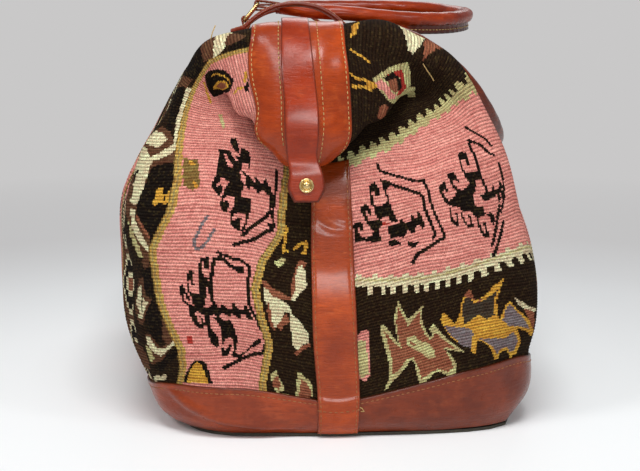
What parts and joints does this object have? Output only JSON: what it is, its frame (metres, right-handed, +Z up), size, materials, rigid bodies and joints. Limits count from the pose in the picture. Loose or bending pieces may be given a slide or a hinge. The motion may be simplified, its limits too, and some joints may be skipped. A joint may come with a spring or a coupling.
{
  "type": "kilim weekender bag",
  "caption": "Closed soft travel bag of kilim cloth with leather trim, folded ends held down by snap tabs, a top zip, closing straps and rolled handles hung on brass rings.",
  "frame": {"origin": "on the floor, under the sole, midway between the two end seams", "axes": "+Y along the bag's length towards the far end, +Z up, +X to the side where the handles hang"},
  "size_m": [0.3814, 0.5926, 0.3686],
  "materials": {
    "kilim_wool": "ribbed flat weave, matte wool",
    "cognac_leather": "waxed smooth, worn",
    "dark_cognac_leather": "waxed smooth, darker",
    "sole_leather": "dull dark olive",
    "base_board": "stiff pressed board",
    "brass": "polished",
    "zip_tape": "woven tape"
  },
  "bodies": {
    "bag": {"kilim_right": "kilim_wool", "kilim_left": "kilim_wool", "base_trim_right": "cognac_leather", "base_trim_left": "cognac_leather", "sole": "sole_leather", "base_board": "base_board", "end_strap_near": "cognac_leather", "end_strap_far": "cognac_leather", "welt_right": "cognac_leather", "welt_left": "cognac_leather", "end_tab_near": "dark_cognac_leather", "end_tab_far": "dark_cognac_leather", "tab_backing_near": "cognac_leather", "tab_backing_far": "cognac_leather", "stud_cap_near": "brass", "stud_cap_far": "brass", "stud_socket_near": "brass", "stud_socket_far": "brass", "zip_tape_right": "zip_tape", "zip_tape_left": "zip_tape", "zip_chain": "brass", "ring_loop_left_near": "cognac_leather", "ring_loop_left_far": "cognac_leather", "ring_loop_right_near": "cognac_leather", "ring_loop_right_far": "cognac_leather", "closing_strap_near": "dark_cognac_leather", "closing_strap_far": "dark_cognac_leather"},
    "left_rings": {"ring_left_near": "brass", "ring_left_far": "brass"},
    "left_handle_body": {"left_handle": "cognac_leather", "handle_end_left_near": "cognac_leather", "handle_end_left_far": "cognac_leather"},
    "right_rings": {"ring_right_near": "brass", "ring_right_far": "brass"},
    "right_handle_body": {"right_handle": "cognac_leather", "handle_end_right_near": "cognac_leather", "handle_end_right_far": "cognac_leather"},
    "slider": {"zip_slider": "brass"},
    "pull": {"zip_pull": "brass"}
  },
  "joints": [
    {"name": "left_ring_swing", "type": "hinge", "parent": "bag", "child": "left_rings", "pos_m": [-0.07632, -0.09689, 0.35021], "axis": [0, -0.9997, 0.0264], "range_deg": [0, 60]},
    {"name": "left_handle_swing", "type": "hinge", "parent": "left_rings", "child": "left_handle_body", "pos_m": [-0.06411, -0.09651, 0.36476], "axis": [0, -0.9997, 0.0264], "range_deg": [0, 115]},
    {"name": "right_ring_swing", "type": "hinge", "parent": "bag", "child": "right_rings", "pos_m": [0.01149, -0.12316, 0.34489], "axis": [0, -0.9997, 0.0264], "range_deg": [0, 60]},
    {"name": "right_handle_swing", "type": "hinge", "parent": "right_rings", "child": "right_handle_body", "pos_m": [0.03049, -0.12316, 0.34489], "axis": [0, -0.9997, 0.0264], "range_deg": [0, 55]},
    {"name": "zip_slide", "type": "slide", "parent": "bag", "child": "slider", "axis": [0, -0.9997, 0.0264], "range_m": [0, 0.27]},
    {"name": "pull_swing", "type": "hinge", "parent": "slider", "child": "pull", "pos_m": [-0.0299, 0.13606, 0.34025], "axis": [-1, 0, 0], "range_deg": [0, 100]}
  ]
}
